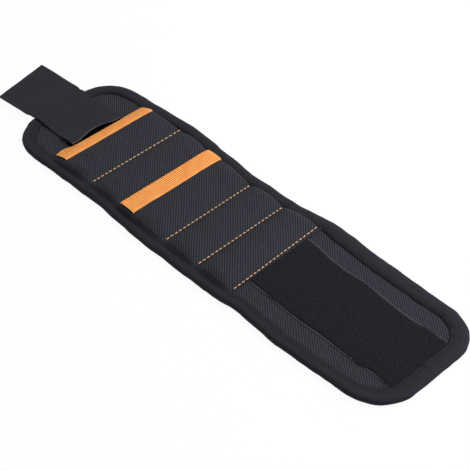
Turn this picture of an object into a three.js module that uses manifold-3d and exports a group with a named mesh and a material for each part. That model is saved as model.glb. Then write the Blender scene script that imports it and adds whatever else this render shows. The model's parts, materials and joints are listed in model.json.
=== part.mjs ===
// Magnetic wristband laid flat with its front up: a padded band with five sewn magnet pockets, a loop patch at
// one end and a hook strap at the other. Millimetres. The origin is at the middle of the underside, +X runs
// from the strap to the loop end, +Y across the band and +Z up, out of its front.
// The band is soft and folds at its sewn lines, so each layer is made in panels from fold to fold.
import * as THREE from 'three';
import { mergeVertices } from 'three/addons/utils/BufferGeometryUtils.js';
import Module from 'manifold-3d';

const wasm = await Module();
wasm.setup();

// Outline of the band
const bandLength = 323;
const bandWidth = 90;
const cornerRadius = 27;

// Panels along the band, from the strap to the loop end, which takes the rest of the length
const endPanelLength = 41;
const pocketLengths = [36, 28, 41, 28, 28];
const loopPanelCount = 3;
const foldGap = 0.3;
const foldLean = THREE.MathUtils.degToRad(8);

// Spacer-mesh lining on the back and woven cloth on the front
const liningThickness = 2.4;
const clothThickness = 0.8;
const layerGap = 0.1;
const fitGap = 0.3;

// Tape folded round the band's edge
const bindingTape = 0.8;
const bindingWall = 1;
const bindingLap = 10;
const bindingRound = 1.8;

// Magnet pockets: plates under crowned cloth
const magnetsPerPocket = 3;
const magnetLength = 12;
const magnetThickness = 2;
const magnetCorner = 1.2;
const magnetEdge = 0.3;
const magnetSpacing = 4;
const magnetSideMargin = 7;
const pocketPuff = 1.6;
const crownFullness = 2.4;
const crownSideFullness = 8;

// Webbing strips across the rising side of a pocket
const strippedPockets = [1, 3];
const stripWidth = 12;
const stripThickness = 1;
const stripSetback = 1;
const stripSeat = 0.2;

// Loop patch
const loopPatchWidth = 50;
const loopPatchThickness = 1.6;

// Strap: sewn down, lying over the end panel, then bent down to the table past the band's edge
const strapWidth = 40;
const strapThickness = 1.2;
const strapAside = -2;
const strapSetback = 1.2;
const strapSewnLength = 8;
const strapCreaseReach = 2.5;
const strapTipLength = 40;
const strapJointGap = 0.4;

// Hook tape under the strap's free end
const hookLength = 32;
const hookWidth = 36;
const hookThickness = 1;
const hookTipMargin = 2;

// Fineness of the round and crowned shapes
const cornerSteps = 8;
const roundSteps = 3;
const crownStepsAlong = 10;
const crownStepsAcross = 14;
const stripSteps = 4;
const magnetCornerSteps = 2;

// Heights of the layers
const clothLow = liningThickness + layerGap;
const clothTop = clothLow + clothThickness;
const bindingHeight = clothTop + layerGap + bindingTape;
const strapHeight = bindingHeight + fitGap;
const crownHeight = magnetThickness + pocketPuff;

// The strap's free end slopes down until the hook tape rests on the table
const hookReach = strapTipLength - hookTipMargin;
const hookDepth = fitGap + hookThickness;
const strapSlope =
  Math.asin((strapHeight - layerGap) / Math.hypot(hookReach, hookDepth)) - Math.atan2(hookDepth, hookReach);
const strapTipReach = strapTipLength * Math.cos(strapSlope) + strapThickness * Math.sin(strapSlope);

// Places along the band
const bandStart = (strapCreaseReach + strapTipReach - bandLength) / 2;
const bandEnd = bandStart + bandLength;
const folds = [bandStart + endPanelLength];
for (const length of pocketLengths) folds.push(folds.at(-1) + length);
const loopPanelLength = (bandEnd - folds.at(-1)) / loopPanelCount;
for (let panel = 1; panel < loopPanelCount; panel += 1) folds.push(folds.at(-1) + loopPanelLength);
const panelEdges = [bandStart, ...folds, bandEnd];
const strapRoot = folds[0] - strapSetback;
const strapHinge = folds[0] - strapSetback - strapSewnLength;
const strapCrease = bandStart - strapCreaseReach;

// Half widths across the band
const innerHalf = bandWidth / 2 - bindingLap;
const openHalf = innerHalf - fitGap;
const clothInset = bindingWall + layerGap;
const clothHalf = bandWidth / 2 - clothInset;

// Names of the panels, in order along the band
const pocketNames = pocketLengths.map((_, index) => `pocket_${index + 1}`);
const loopNames = Array.from({ length: loopPanelCount }, (_, index) => `loop_${index + 1}`);
const panelNames = ['end', ...pocketNames, ...loopNames];
const firstLoopPanel = 1 + pocketLengths.length;
const lastPanel = panelNames.length - 1;

const finishes = {
  lining: new THREE.MeshStandardMaterial({ color: '#26272b', roughness: 0.95, metalness: 0 }),
  cloth: new THREE.MeshStandardMaterial({ color: '#2b2d33', roughness: 0.85, metalness: 0 }),
  binding: new THREE.MeshStandardMaterial({ color: '#25262a', roughness: 0.7, metalness: 0 }),
  webbing: new THREE.MeshStandardMaterial({ color: '#f8943a', roughness: 0.75, metalness: 0 }),
  loop: new THREE.MeshStandardMaterial({ color: '#16171a', roughness: 1, metalness: 0 }),
  strap: new THREE.MeshStandardMaterial({ color: '#2a2b2f', roughness: 0.65, metalness: 0 }),
  hook: new THREE.MeshStandardMaterial({ color: '#1b1c1f', roughness: 0.6, metalness: 0 }),
  magnet: new THREE.MeshStandardMaterial({ color: '#b9bcc2', roughness: 0.3, metalness: 1 }),
};

const wristband = new THREE.Group();

function add(name, geometry, finish, parent = wristband) {
  const mesh = new THREE.Mesh(geometry, finish);
  mesh.name = name;
  parent.add(mesh);
}

// A closed geometry as a solid that can be joined and cut
function solidOf(geometry) {
  const bare = geometry.clone();
  bare.deleteAttribute('normal');
  bare.deleteAttribute('uv');
  const merged = mergeVertices(bare, 1e-4);
  return new wasm.Manifold(
    new wasm.Mesh({
      numProp: 3,
      vertProperties: new Float32Array(merged.attributes.position.array),
      triVerts: new Uint32Array(merged.index.array),
    }),
  );
}

function geometryOf(solid) {
  const mesh = solid.getMesh();
  const geometry = new THREE.BufferGeometry();
  geometry.setAttribute('position', new THREE.BufferAttribute(mesh.vertProperties, 3));
  geometry.setIndex(new THREE.BufferAttribute(mesh.triVerts, 1));
  geometry.computeVertexNormals();
  return geometry;
}

function roundedRectangle(x0, x1, half, radius) {
  const shape = new THREE.Shape();
  shape.moveTo(x0 + radius, -half);
  shape.lineTo(x1 - radius, -half);
  shape.absarc(x1 - radius, -half + radius, radius, -Math.PI / 2, 0);
  shape.lineTo(x1, half - radius);
  shape.absarc(x1 - radius, half - radius, radius, 0, Math.PI / 2);
  shape.lineTo(x0 + radius, half);
  shape.absarc(x0 + radius, half - radius, radius, Math.PI / 2, Math.PI);
  shape.lineTo(x0, -half + radius);
  shape.absarc(x0 + radius, -half + radius, radius, Math.PI, Math.PI * 1.5);
  return shape;
}

// The band's outline, drawn in all round by an inset
function outline(inset) {
  return roundedRectangle(bandStart + inset, bandEnd - inset, bandWidth / 2 - inset, cornerRadius - inset);
}

function sheet(shape, low, high) {
  const geometry = new THREE.ExtrudeGeometry(shape, {
    depth: high - low,
    bevelEnabled: false,
    curveSegments: cornerSteps,
  });
  return geometry.translate(0, 0, low);
}

function block(x0, x1, y0, y1, low, high) {
  const geometry = new THREE.BoxGeometry(x1 - x0, y1 - y0, high - low);
  return geometry.translate((x0 + x1) / 2, (y0 + y1) / 2, (low + high) / 2);
}

// A side view in X and Z drawn out across the band
function drawnAcross(points, y0, y1) {
  const shape = new THREE.Shape(points.map(([x, z]) => new THREE.Vector2(x, z)));
  const geometry = new THREE.ExtrudeGeometry(shape, { depth: y1 - y0, bevelEnabled: false });
  return geometry.rotateX(Math.PI / 2).translate(0, y1, 0);
}

// The stretch of the band that one panel takes at a height. Its ends lean back from the folds, which leaves room
// to bend towards the front, and run past the band's own ends.
function panelSpan(panel, height) {
  const back = foldGap / 2 + height * Math.tan(foldLean);
  const from = panelEdges[panel] + (panel === 0 ? -bindingWall : back);
  const to = panelEdges[panel + 1] + (panel === lastPanel ? bindingWall : -back);
  return { from, to };
}

// That stretch as a block, over the band's whole width or one side of it
function panelBlock(panel, y0 = -bandWidth, y1 = bandWidth) {
  const low = -bindingTape;
  const high = 2 * bindingHeight;
  const foot = panelSpan(panel, low);
  const head = panelSpan(panel, high);
  const side = [[foot.from, low], [foot.to, low], [head.to, high], [head.from, high]];
  return solidOf(drawnAcross(side, y0, y1));
}

// Lining: a pad that fills the binding's opening, with a thinner edge held inside the fold
function makeLining() {
  const pad = solidOf(sheet(outline(bindingLap + fitGap), 0, liningThickness));
  const edge = solidOf(sheet(outline(clothInset), bindingTape + layerGap, liningThickness));
  const whole = pad.add(edge);
  panelNames.forEach((name, panel) => {
    add(`lining_${name}`, geometryOf(whole.intersect(panelBlock(panel))), finishes.lining);
  });
}

// Plain cloth at the strap's end and round the loop patch
function makeCloth() {
  const whole = solidOf(sheet(outline(clothInset), clothLow, clothTop));
  panelNames.forEach((name, panel) => {
    if (panel > 0 && panel < firstLoopPanel) return;
    add(`cloth_${name}`, geometryOf(whole.intersect(panelBlock(panel))), finishes.cloth);
  });
}

// Binding: a round-edged tape wrapped over the edge, open towards the middle of the band
function makeBinding() {
  const slab = new THREE.ExtrudeGeometry(outline(bindingRound), {
    depth: bindingHeight - 2 * bindingRound,
    bevelSize: bindingRound,
    bevelThickness: bindingRound,
    bevelSegments: roundSteps,
    curveSegments: cornerSteps,
  }).translate(0, 0, bindingRound);
  const inside = solidOf(sheet(outline(bindingWall), bindingTape, bindingHeight - bindingTape));
  const opening = solidOf(sheet(outline(bindingLap), -bindingHeight, bindingHeight * 2));
  const whole = solidOf(slab).subtract(inside).subtract(opening);
  panelNames.forEach((name, panel) => {
    if (panel === 0 || panel === lastPanel) {
      add(`binding_${name}`, geometryOf(whole.intersect(panelBlock(panel))), finishes.binding);
      return;
    }
    const near = whole.intersect(panelBlock(panel, -bandWidth, 0));
    const far = whole.intersect(panelBlock(panel, 0, bandWidth));
    add(`binding_${name}_near`, geometryOf(near), finishes.binding);
    add(`binding_${name}_far`, geometryOf(far), finishes.binding);
  });
}

// How far a pocket's cloth stands up over its magnets
function crown(span, x, y) {
  const along = Math.abs(2 * x - span.from - span.to) / (span.to - span.from);
  const across = Math.abs(y) / openHalf;
  if (along >= 1 || across >= 1) return 0;
  return crownHeight * (1 - along ** crownFullness) * (1 - across ** crownSideFullness);
}

// Places across a pocket, closer together towards its sides, where the cloth comes down
const crownRows = Array.from({ length: crownStepsAcross + 1 }, (_, row) =>
  openHalf * Math.sin((row / crownStepsAcross - 0.5) * Math.PI),
);

// A sheet from x0 to x1 with its edges at the given rows, raised by a pocket's crown
function crownedSheet(span, x0, x1, rows, steps, low, thickness) {
  const geometry = new THREE.BoxGeometry(1, 1, 1, steps, rows.length - 1, 1);
  const place = geometry.attributes.position;
  for (let i = 0; i < place.count; i += 1) {
    const x = THREE.MathUtils.lerp(x0, x1, place.getX(i) + 0.5);
    const y = rows[Math.round((place.getY(i) + 0.5) * (rows.length - 1))];
    const rise = place.getZ(i) > 0 ? thickness : 0;
    place.setXYZ(i, x, y, low + rise + crown(span, x, y));
  }
  return geometry;
}

function magnetPlate(width) {
  const half = width / 2 - magnetEdge;
  const x = magnetLength / 2 - magnetEdge;
  return new THREE.ExtrudeGeometry(roundedRectangle(-x, x, half, magnetCorner), {
    depth: magnetThickness - 2 * magnetEdge,
    bevelSize: magnetEdge,
    bevelThickness: magnetEdge,
    bevelSegments: 1,
    curveSegments: magnetCornerSteps,
  }).translate(0, 0, magnetEdge);
}

// Pockets: a crowned cover, the magnets in a row beneath it and, on two of them, a webbing strip
function makePockets() {
  const coverRows = [-clothHalf, ...crownRows, clothHalf];
  const fields = 2 * (openHalf - magnetSideMargin) - (magnetsPerPocket - 1) * magnetSpacing;
  const magnetWidth = fields / magnetsPerPocket;
  pocketNames.forEach((name, index) => {
    const number = index + 1;
    const span = panelSpan(number, clothTop);
    const cover = crownedSheet(span, span.from, span.to, coverRows, crownStepsAlong, clothLow, clothThickness);
    add(`cover_${name}`, cover, finishes.cloth);

    for (let place = 0; place < magnetsPerPocket; place += 1) {
      const plate = magnetPlate(magnetWidth);
      const y = (place - (magnetsPerPocket - 1) / 2) * (magnetWidth + magnetSpacing);
      plate.translate((span.from + span.to) / 2, y, clothLow);
      add(`magnet_${number}_${place + 1}`, plate, finishes.magnet);
    }

    if (strippedPockets.includes(number)) {
      const x0 = panelEdges[number] + stripSetback;
      const low = clothTop + stripSeat;
      const strip = crownedSheet(span, x0, x0 + stripWidth, crownRows, stripSteps, low, stripThickness);
      add(`webbing_strip_${strippedPockets.indexOf(number) + 1}`, strip, finishes.webbing);
    }
  });
}

// Loop patch: laid on the cloth, its end fitted inside the binding's corners
function makeLoopPatch() {
  const low = clothTop + layerGap;
  const half = loopPatchWidth / 2;
  const inside = solidOf(sheet(outline(bindingLap + fitGap), low, low + loopPatchThickness));
  loopNames.forEach((_, index) => {
    const stretch = panelBlock(firstLoopPanel + index, -half, half);
    add(`loop_patch_${index + 1}`, geometryOf(inside.intersect(stretch)), finishes.loop);
  });
}

// Strap: its sewn end, the stretch over the end panel, and the free end with its hook tape
function makeStrap() {
  const near = strapAside - strapWidth / 2;
  const far = strapAside + strapWidth / 2;
  const sewnLow = clothTop + layerGap;
  const sewn = block(strapHinge, strapRoot, near, far, sewnLow, sewnLow + strapThickness);
  add('strap_sewn_end', sewn, finishes.strap);

  const rise = bandStart + bindingLap;
  const side = [
    [strapHinge - strapJointGap, sewnLow],
    [strapHinge - strapJointGap, sewnLow + strapThickness],
    [rise, strapHeight + strapThickness],
    [strapCrease + strapJointGap, strapHeight + strapThickness],
    [strapCrease + strapJointGap, strapHeight],
    [rise, strapHeight],
  ];
  add('strap_middle', drawnAcross(side, near, far), finishes.strap);

  const freeEnd = new THREE.Group();
  freeEnd.position.set(strapCrease, 0, strapHeight);
  freeEnd.rotation.y = -strapSlope;
  const tip = block(-strapTipLength, -strapJointGap, near, far, 0, strapThickness);
  add('strap_tip', tip, finishes.strap, freeEnd);
  const hookNear = strapAside - hookWidth / 2;
  const hookFar = strapAside + hookWidth / 2;
  const hook = block(-hookReach, hookLength - hookReach, hookNear, hookFar, -hookDepth, -fitGap);
  add('hook_tape', hook, finishes.hook, freeEnd);
  wristband.add(freeEnd);
}

makeLining();
makeCloth();
makeBinding();
makePockets();
makeLoopPatch();
makeStrap();

export default wristband;
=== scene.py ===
"""Dresses the magnetic wristband: a sewn band of magnet pockets that a hook-and-loop strap closes.

Lengths are millimetres, and a piece turns to metres when it is finished. The band lies along X with its
lining down, and each sewn layer is cut at the panels' middles, where no fold reaches, so that every piece
lies about one fold and meets its neighbour on a rigid line.
"""

from __future__ import annotations

import json
import logging
import math
from collections.abc import Callable
from dataclasses import dataclass
from enum import Enum
from functools import cache

import bmesh
import bpy
from mathutils import Matrix, Quaternion, Vector, noise

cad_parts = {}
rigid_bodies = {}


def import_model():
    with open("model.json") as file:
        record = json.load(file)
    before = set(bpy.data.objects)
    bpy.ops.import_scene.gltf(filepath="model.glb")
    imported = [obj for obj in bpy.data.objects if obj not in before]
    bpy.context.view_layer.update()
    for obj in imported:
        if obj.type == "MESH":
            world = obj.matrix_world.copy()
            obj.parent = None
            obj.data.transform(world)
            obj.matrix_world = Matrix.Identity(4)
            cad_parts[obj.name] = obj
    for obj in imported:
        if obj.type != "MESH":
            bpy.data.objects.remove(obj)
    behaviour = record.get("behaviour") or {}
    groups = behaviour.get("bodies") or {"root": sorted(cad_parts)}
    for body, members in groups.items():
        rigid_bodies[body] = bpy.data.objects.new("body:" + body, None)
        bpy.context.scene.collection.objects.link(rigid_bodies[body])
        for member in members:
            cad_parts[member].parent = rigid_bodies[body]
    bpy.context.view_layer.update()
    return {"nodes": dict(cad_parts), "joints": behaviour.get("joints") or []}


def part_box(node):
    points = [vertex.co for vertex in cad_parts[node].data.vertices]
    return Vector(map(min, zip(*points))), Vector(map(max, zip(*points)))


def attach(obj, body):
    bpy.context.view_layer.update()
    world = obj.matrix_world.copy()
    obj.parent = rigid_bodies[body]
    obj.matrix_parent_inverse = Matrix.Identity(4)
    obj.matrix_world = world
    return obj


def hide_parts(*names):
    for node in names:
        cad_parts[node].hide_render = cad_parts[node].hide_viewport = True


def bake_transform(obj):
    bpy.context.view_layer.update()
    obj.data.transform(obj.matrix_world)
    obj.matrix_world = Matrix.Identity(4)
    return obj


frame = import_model()

Cloth = bmesh.types.BMesh
Piece = bpy.types.Object
Node = bpy.types.Node
Tree = bpy.types.NodeTree
Links = dict[str | int, object]
Knots = tuple[tuple[float, float], ...]
Grid = tuple[float, float]

LOG = logging.getLogger("wristband")
MM = 0.001
FLAT = "flat_place"
SHARP_ANGLE = math.radians(50)
# Nearer than this, two places are one
SAME_PLACE = 0.01
# Least height of a normal that points up
FACING_UP = 0.5
POCKETS = range(1, 6)
PANELS = (
    "end_panel",
    *(f"pocket_{number}" for number in POCKETS),
    *(f"loop_panel_{number}" for number in range(1, 4)),
)
PANEL_NODES = tuple(name.removesuffix("_panel").replace("loop_panel", "loop") for name in PANELS)
# Number of the fold between the last pocket and the loop end
LOOP_FOLD = len(POCKETS)

# Sockets of a colour mix: its share, its two colours and its result
MIX_SHARE, MIX_FIRST, MIX_SECOND, MIX_RESULT = 0, 6, 7, 2
# The stretch of a noise's values that a pattern spreads over its two tones
SOFT_GRAIN = {"From Min": 0.3, "From Max": 0.7}
HARD_GRAIN = {"From Min": 0.35, "From Max": 0.65}


class Slot(Enum):
    """The record's material slots."""

    LINING = "lining"
    CLOTH = "cloth"
    BINDING = "binding"
    WEBBING = "webbing"
    LOOP = "loop"
    STRAP = "strap"
    HOOK = "hook"
    MAGNET = "magnet"


class Side(Enum):
    """The band's two long edges, by the sign of Y."""

    NEAR = -1
    FAR = 1


def clamp(value: float, high: float = 1.0) -> float:
    """Keeps a value between 0 and high."""
    return min(max(value, 0.0), high)


def hump(away: float, width: float) -> float:
    """A smooth hump: 1 in its middle, and next to nothing two widths away."""
    return math.exp(-((away / width) ** 2))


@dataclass(frozen=True)
class Span:
    """A stretch along one axis."""

    low: float
    high: float

    @property
    def length(self) -> float:
        """How long the stretch is."""
        return self.high - self.low

    @property
    def middle(self) -> float:
        """Its middle."""
        return (self.low + self.high) / 2

    def segments(self, step: float) -> int:
        """How many steps of about this length it takes."""
        return max(1, round(self.length / step))

    def inside(self, place: float) -> float:
        """How far a place lies from the nearer end."""
        return min(place - self.low, self.high - place)

    def rise(self, place: float) -> float:
        """Rises smoothly along the stretch, from 0 before it to 1 past it."""
        share = clamp((place - self.low) / self.length)
        return share * share * (3 - 2 * share)


@dataclass(frozen=True)
class Ripple:
    """Waves that cloth takes by itself: their height, their length, and a seed that sets layers apart."""

    height: float
    length: float
    seed: float

    def at(self, x: float, y: float = 0.0, layer: int = 0) -> float:
        """How high the waves stand at a place, on one of several like layers. It may be below zero."""
        return self.height * noise.noise(Vector((x / self.length, y / self.length, self.seed + layer)))


def wander(place: float, knots: Knots) -> float:
    """A line that passes smoothly through a few knots, and runs on level past the last.

    Args:
        place: Where on the line.
        knots: Pairs of place and value, in order.

    Returns:
        The value there.
    """
    for (low, before), (high, after) in zip(knots, knots[1:]):
        if place <= high:
            return before + (after - before) * Span(low, high).rise(place)
    return knots[-1][1]


@cache
def node_box(node: str) -> tuple[Vector, Vector]:
    """The lowest and highest corner of a CAD node in millimetres, read once."""
    low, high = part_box(node)
    return low / MM, high / MM


def joint_place(first: str, second: str) -> Vector:
    """A point on the axis of the joint between two bodies."""
    found = next(j for j in frame["joints"] if {j["parent"], j["child"]} == {first, second})
    return Vector(found["pos_m"]) / MM


def linear(colour: str) -> tuple[float, float, float, float]:
    """Turns a colour to linear light.

    Args:
        colour: The sRGB hex value.

    Returns:
        Red, green, blue and full cover.
    """
    parts = [int(colour[i : i + 2], 16) / 255 for i in (1, 3, 5)]
    light = [c / 12.92 if c <= 0.04045 else ((c + 0.055) / 1.055) ** 2.4 for c in parts]
    return (light[0], light[1], light[2], 1.0)


def connect(tree: Tree, node: Node, links: Links) -> None:
    """Fills a node's inputs.

    Args:
        tree: The node tree.
        node: The node.
        links: What goes into each input: a socket, a node whose first output is meant, or a value.
    """
    for name, value in links.items():
        if isinstance(value, Node):
            value = value.outputs[0]
        if isinstance(value, bpy.types.NodeSocket):
            tree.links.new(value, node.inputs[name])
        else:
            node.inputs[name].default_value = value


def add_node(tree: Tree, kind: str, links: Links | None = None, **settings: object) -> Node:
    """Adds a node with its settings and links.

    Args:
        tree: The node tree.
        kind: The node's type.
        links: What goes into each input.
        settings: The node's own properties.

    Returns:
        The node.
    """
    node = tree.nodes.new(kind)
    for name, value in settings.items():
        setattr(node, name, value)
    connect(tree, node, links or {})
    return node


@dataclass(frozen=True)
class Finish:
    """What a surface is made of: two tones, a gloss and a relief, on a pattern that each kind draws itself.

    The pattern of a cloth lies on its piece's flat map, in millimetres.
    """

    name: str
    colour: str
    shade: str
    roughness: float = 0.75
    specular: float = 0.12
    sheen: float = 0.0
    sheen_roughness: float = 0.6
    metallic: float = 0.0
    relief: float = 0.03

    def material(self) -> bpy.types.Material:
        """Makes the material, or finds it where it is made already.

        Returns:
            The material.
        """
        made = bpy.data.materials.get(self.name)
        if made:
            return made
        made = bpy.data.materials.new(self.name)
        made.use_nodes = True
        tree = made.node_tree
        lit, height = self.draw(tree)
        tones = {MIX_SHARE: lit, MIX_FIRST: linear(self.shade), MIX_SECOND: linear(self.colour)}
        mix = add_node(tree, "ShaderNodeMix", tones, data_type="RGBA")
        raised = {"Height": height, "Distance": self.relief * MM, "Strength": 1.0}
        surface = {
            "Base Color": mix.outputs[MIX_RESULT],
            "Roughness": self.roughness,
            "Specular IOR Level": self.specular,
            "Sheen Weight": self.sheen,
            "Sheen Roughness": self.sheen_roughness,
            "Metallic": self.metallic,
            "Normal": add_node(tree, "ShaderNodeBump", raised),
        }
        connect(tree, tree.nodes["Principled BSDF"], surface)
        return made

    def draw(self, tree: Tree) -> tuple[Node, Node]:
        """Draws the pattern: a node for the share of the paler tone, and one for the height, from 0 to 1."""
        raise NotImplementedError


@dataclass(frozen=True)
class Woven(Finish):
    """Ribbed cloth: painted highlight on the crowns, painted shade between, broken by cross threads, dulled
    in patches.
    """

    rib: float = 0.6
    thread: float = 0.5
    slant: float = 0.0
    crown: float = 0.6
    broken_to: float = 0.75
    dull_size: float = 7.0
    dulled_to: float = 0.75
    relief: float = 0.06

    def draw(self, tree: Tree) -> tuple[Node, Node]:
        """Draws the ribs along the map's first axis, turned by the slant.

        Args:
            tree: The node tree.

        Returns:
            The share of the paler tone, and the height.
        """
        place = add_node(tree, "ShaderNodeUVMap", uv_map=FLAT)
        turning = {"Vector": place, "Angle": math.radians(-self.slant)}
        turned = add_node(tree, "ShaderNodeVectorRotate", turning, rotation_type="Z_AXIS")
        turns = (math.pi / self.rib, math.pi / self.thread, 0)
        scaled = add_node(tree, "ShaderNodeVectorMath", {0: turned, 1: turns}, operation="MULTIPLY")
        sines = add_node(tree, "ShaderNodeVectorMath", {0: scaled}, operation="SINE")
        rounded = add_node(tree, "ShaderNodeVectorMath", {0: sines}, operation="ABSOLUTE")
        ribs, threads, _ = add_node(tree, "ShaderNodeSeparateXYZ", {0: rounded}).outputs
        crowned = add_node(tree, "ShaderNodeMath", {0: ribs, 1: self.crown}, operation="POWER")
        broken = add_node(tree, "ShaderNodeMapRange", {"Value": threads, "To Min": self.broken_to})
        height = add_node(tree, "ShaderNodeMath", {0: crowned, 1: broken}, operation="MULTIPLY")
        patches = {"Vector": place, "Scale": 1 / self.dull_size, "Detail": 3.0}
        worn = add_node(tree, "ShaderNodeTexNoise", patches)
        ends = {"Value": worn, **SOFT_GRAIN, "To Min": self.dulled_to}
        dulled = add_node(tree, "ShaderNodeMapRange", ends)
        # The paler tone follows the ribs' height: painted highlight on the crowns, painted shade in the
        # grooves.
        return add_node(tree, "ShaderNodeMath", {0: height, 1: dulled}, operation="MULTIPLY"), height


@dataclass(frozen=True)
class TwillWeave(Woven):
    """Heavy polyester twill: fat yarns in slanting wales, painted highlight on their crowns, near-black
    painted shade between.
    """

    rib: float = 1.49
    thread: float = 2.1
    slant: float = 46.0
    crown: float = 1.2
    broken_to: float = 0.82
    dull_size: float = 2.5
    relief: float = 0.16


@dataclass(frozen=True)
class FoldedTape(Woven):
    """Ribbed tape with a painted highlight along the fold in its middle."""

    fold_at: float = 8.0
    fold_half: float = 1.5
    fold_highlight: Span = Span(0.5, 1.5)

    def draw(self, tree: Tree) -> tuple[Node, Node]:
        """Draws the ribs, with a painted highlight at the fold that fades to painted shade at the tape's
        edges.

        Args:
            tree: The node tree.

        Returns:
            The share of the paler tone, and the height.
        """
        lit, height = super().draw(tree)
        place = add_node(tree, "ShaderNodeUVMap", uv_map=FLAT)
        across = add_node(tree, "ShaderNodeSeparateXYZ", {0: place}).outputs[1]
        away = add_node(tree, "ShaderNodeMath", {0: across, 1: self.fold_at}, operation="SUBTRACT")
        apart = add_node(tree, "ShaderNodeMath", {0: away}, operation="ABSOLUTE")
        # Painted highlight near the fold, fading to painted shade at the tape's edges
        reach = {"Value": apart, "From Min": self.fold_half, "From Max": self.fold_at}
        shares = {"To Min": self.fold_highlight.high, "To Max": self.fold_highlight.low}
        pale = add_node(tree, "ShaderNodeMapRange", {**reach, **shares})
        return add_node(tree, "ShaderNodeMath", {0: lit, 1: pale}, operation="MULTIPLY"), height


@dataclass(frozen=True)
class LoopPile(Finish):
    """Brushed nylon loops: a matt pile that swallows light, with painted highlight on its raised tufts and
    painted shade between.
    """

    tuft: float = 0.9
    relief: float = 0.3

    def draw(self, tree: Tree) -> tuple[Node, Node]:
        """Draws tufts of fibre, whose height also sets the painted highlight and shade.

        Args:
            tree: The node tree.

        Returns:
            The share of the paler tone, and the height.
        """
        place = add_node(tree, "ShaderNodeUVMap", uv_map=FLAT)
        size = {"Vector": place, "Scale": 1 / self.tuft, "Detail": 4.0}
        tufts = add_node(tree, "ShaderNodeTexNoise", size)
        # The tufts' height paints them: paler where high as painted highlight, near black where low as
        # painted shade
        return add_node(tree, "ShaderNodeMapRange", {"Value": tufts, **SOFT_GRAIN}), tufts


@dataclass(frozen=True)
class SpacerMesh(Finish):
    """Knitted spacer mesh: a springy black knit with rows of round holes."""

    pitch: float = 2.8
    hole: float = 0.9
    rim: Span = Span(0.7, 1.25)
    relief: float = 0.4

    def draw(self, tree: Tree) -> tuple[Node, Node]:
        """Draws two staggered sets of holes, which together stand in a honeycomb.

        Args:
            tree: The node tree.

        Returns:
            The share of the paler tone, and the height, which are the same here.
        """
        first, second = (self.distance(tree, offset) for offset in (0.0, 0.5))
        least = add_node(tree, "ShaderNodeMath", {0: first, 1: second}, operation="MINIMUM")
        ends = {"From Min": self.hole * self.rim.low, "From Max": self.hole * self.rim.high}
        rim = {"Value": least, **ends}
        # Painted shade fills the holes; the knit between them keeps the paler tone
        knit = add_node(tree, "ShaderNodeMapRange", rim, interpolation_type="SMOOTHSTEP")
        return knit, knit

    def distance(self, tree: Tree, offset: float) -> bpy.types.NodeSocket:
        """Distance to the nearest hole of one set.

        Args:
            tree: The node tree.
            offset: How far the set is shifted, as a share of its spacing.

        Returns:
            The distance's socket, in millimetres.
        """
        along, across = self.pitch, self.pitch * math.sqrt(3)
        place = add_node(tree, "ShaderNodeUVMap", uv_map=FLAT)
        steps = (
            ("DIVIDE", (along, across, 1)),
            ("ADD", (offset, offset, offset)),
            ("FRACTION", (0, 0, 0)),
            ("SUBTRACT", (0.5, 0.5, 0.5)),
            ("MULTIPLY", (along, across, 0)),
        )
        for operation, by in steps:
            place = add_node(tree, "ShaderNodeVectorMath", {0: place, 1: by}, operation=operation)
        return add_node(tree, "ShaderNodeVectorMath", {0: place}, operation="LENGTH").outputs["Value"]


@dataclass(frozen=True)
class Grained(Finish):
    """A solid surface with a fine grain on its own coordinates, such as moulded nylon, thread or plate."""

    grain: float = 0.4

    def draw(self, tree: Tree) -> tuple[Node, Node]:
        """Draws a fine two-tone grain with a slight relief.

        Args:
            tree: The node tree.

        Returns:
            The share of the paler tone, and the height.
        """
        place = add_node(tree, "ShaderNodeTexCoord").outputs["Object"]
        size = {"Vector": place, "Scale": 1 / (self.grain * MM), "Detail": 2.0}
        grain = add_node(tree, "ShaderNodeTexNoise", size)
        return add_node(tree, "ShaderNodeMapRange", {"Value": grain, **HARD_GRAIN}), grain


# Coated polyester twill, woven dense: matt charcoal wales, with near-black painted shade between them. The
# yarns are drawn about twice as coarse as real ones, because finer wales would not show.
POCKET_TWILL = TwillWeave("polyester_twill_pocket_cloth", "#3a3b44", "#0f1013")
# The same twill from another roll: its wales stand steeper and closer, and look a little paler.
BASE_TWILL = TwillWeave("polyester_twill_base_cloth", "#3c3d46", "#0b0c0e", rib=1.37, slant=49.0)
# Black nylon facing in deep shade: it takes all light, so that the mouth reads as an opening.
# Painted shade: a dull, near-black sheet where the mouth's opening falls in shadow, so it reads as an
# opening.
MOUTH_SHADE_FINISH = Woven("painted_shade_black_sheet", "#060607", "#040405", rib=0.8, roughness=0.9, specular=0.02)
# Woven polyester binding: near black, with faint ribs, a painted highlight along the fold at the edge, and
# painted shade towards the lap's inner edge. The ribs are drawn coarser than real ones, to show.
BINDING_TAPE = FoldedTape("polyester_binding_tape", "#22232b", "#0b0c10", rib=1.5, sheen=0.02)
# Dyed polyester grosgrain: warm orange ribs with a soft shine, a pale painted highlight on their crowns, and
# deep orange painted shade in the grooves.
ORANGE_WEBBING = Woven(
    "orange_grosgrain_webbing",
    "#ffd07a",
    "#e85c08",
    crown=1.3,
    rib=1.37,
    thread=0.7,
    specular=0.2,
    relief=0.12,
)
# Calendered nylon strap: smooth, even and dull, with hardly any weave to see.
STRAP_TAPE = Woven("smooth_nylon_strap", "#28292f", "#1e1f24", rib=0.8, thread=0.8, relief=0.03)
# The bare woven edge of the loop tape: a thin line, paler than the cloth and the pile beside it.
SELVEDGE_TAPE = Woven("loop_tape_selvedge", "#4a4b53", "#2e2f35", rib=0.7)
# Brushed nylon loops: a soft black that swallows light, with painted highlight on the raised tufts.
BRUSHED_LOOPS = LoopPile(
    "brushed_nylon_loops", "#25262c", "#060709", roughness=0.95, specular=0.06, sheen=0.03
)
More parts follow.
